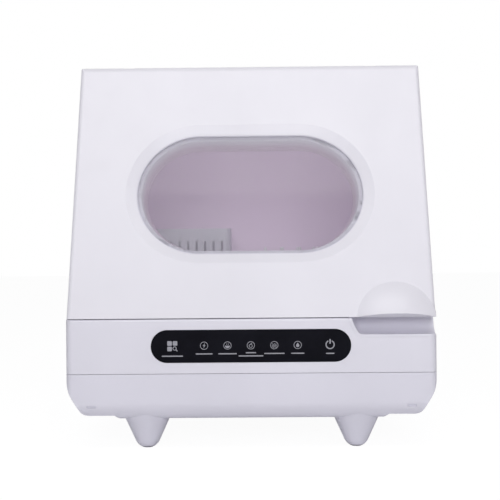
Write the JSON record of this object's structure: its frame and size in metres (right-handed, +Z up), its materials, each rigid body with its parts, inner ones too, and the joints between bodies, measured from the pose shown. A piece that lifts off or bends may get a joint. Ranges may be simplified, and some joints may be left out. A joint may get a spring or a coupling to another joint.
{
  "type": "countertop dishwasher",
  "caption": "Countertop dishwasher with a leaning top-hinged window door, touch panel, wire rack, spray arm and pumps, standing on tapered feet.",
  "frame": {"origin": "on the surface that the feet stand on, midway across the width and midway between the handle's front and the rear cover", "axes": "+Z up, +X to the right of a person facing the door, -Y out of the front"},
  "size_m": [0.42, 0.4418, 0.455],
  "materials": {
    "housing_white": "satin moulded plastic, white with a slight lavender tint",
    "pad_rubber": "soft pale rubber",
    "panel_black": "polished black",
    "circuit_green": "circuit board with components",
    "steel": "brushed or drawn steel",
    "tub_grey": "moulded grey plastic",
    "liner_grey": "moulded pale grey plastic",
    "seal_rubber": "dark elastomer",
    "dark_plastic": "dark moulded plastic",
    "motor_metal": "coated metal",
    "impeller_plastic": "pale moulded plastic",
    "spray_grey": "grey moulded plastic",
    "rack_coating": "coated steel wire",
    "basket_grey": "pale grey moulded plastic",
    "window_glass": "clear toughened glass"
  },
  "bodies": {
    "cabinet": {"bottom_tray": "housing_white", "foot_pads": "pad_rubber", "base_fascia": "housing_white", "grip_cup": "housing_white", "control_lens": "panel_black", "control_board": "circuit_green", "cabinet_shell": "housing_white", "rear_cover": "housing_white", "cover_screws": "steel", "hinge_beam": "steel", "hinge_arms": "steel", "tub_shell": "tub_grey", "tub_floor": "tub_grey", "door_seal": "seal_rubber", "rack_rails": "tub_grey", "door_switch": "dark_plastic", "sump_well": "dark_plastic", "fine_filter": "steel", "spray_hub": "spray_grey", "spray_nut": "spray_grey", "heating_element": "steel", "wash_pump_housing": "dark_plastic", "wash_pump_motor": "motor_metal", "pump_mounts": "seal_rubber", "suction_hose": "seal_rubber", "drain_pump_housing": "dark_plastic", "drain_pump_motor": "motor_metal", "drain_hose": "seal_rubber", "drain_spigot": "dark_plastic", "inlet_valve": "impeller_plastic", "fill_hose": "seal_rubber", "cord_gland": "seal_rubber", "power_board": "circuit_green", "fan_frame": "dark_plastic"},
    "door": {"door_shell": "housing_white", "door_liner": "liner_grey", "window_pane": "window_glass", "window_gasket": "pad_rubber", "hinge_pins": "steel", "door_magnet": "motor_metal"},
    "rack": {"rack_frame": "rack_coating", "rack_sides": "rack_coating", "rack_ends": "rack_coating", "plate_tines": "rack_coating", "bowl_tines": "rack_coating"},
    "basket": {"cutlery_basket": "basket_grey"},
    "spray_arm": {"spray_arm": "spray_grey"},
    "filter": {"filter_cup": "spray_grey"},
    "wash_impeller": {"wash_impeller": "impeller_plastic"},
    "drain_impeller": {"drain_impeller": "impeller_plastic"},
    "fan": {"fan_rotor": "dark_plastic"}
  },
  "joints": [
    {"name": "door_hinge", "type": "hinge", "parent": "cabinet", "child": "door", "pos_m": [0, -0.09105, 0.445], "axis": [-1, 0, 0], "range_deg": [0, 80]},
    {"name": "rack_slide", "type": "slide", "parent": "cabinet", "child": "rack", "axis": [0, -1, 0], "range_m": [0, 0.168]},
    {"name": "basket_lift", "type": "slide", "parent": "rack", "child": "basket", "axis": [0, 0, 1], "range_m": [0, 0.06]},
    {"name": "spray_arm_spin", "type": "hinge", "parent": "cabinet", "child": "spray_arm", "pos_m": [0, 0, 0.143], "axis": [0, 0, 1], "continuous": true},
    {"name": "filter_twist", "type": "hinge", "parent": "cabinet", "child": "filter", "pos_m": [0.105, 0, 0.12], "axis": [0, 0, 1], "range_deg": [0, 60]},
    {"name": "wash_impeller_spin", "type": "hinge", "parent": "cabinet", "child": "wash_impeller", "pos_m": [0, 0, 0.08], "axis": [1, 0, 0], "continuous": true},
    {"name": "drain_impeller_spin", "type": "hinge", "parent": "cabinet", "child": "drain_impeller", "pos_m": [0.105, 0.066, 0.08], "axis": [0, 1, 0], "continuous": true},
    {"name": "fan_spin", "type": "hinge", "parent": "cabinet", "child": "fan", "pos_m": [-0.11, 0.19044, 0.192], "axis": [0, 1, 0], "continuous": true}
  ],
  "couplings": [
    {"joint": "rack_slide", "follows": "door_hinge", "m_per_rad": 0.12}
  ]
}
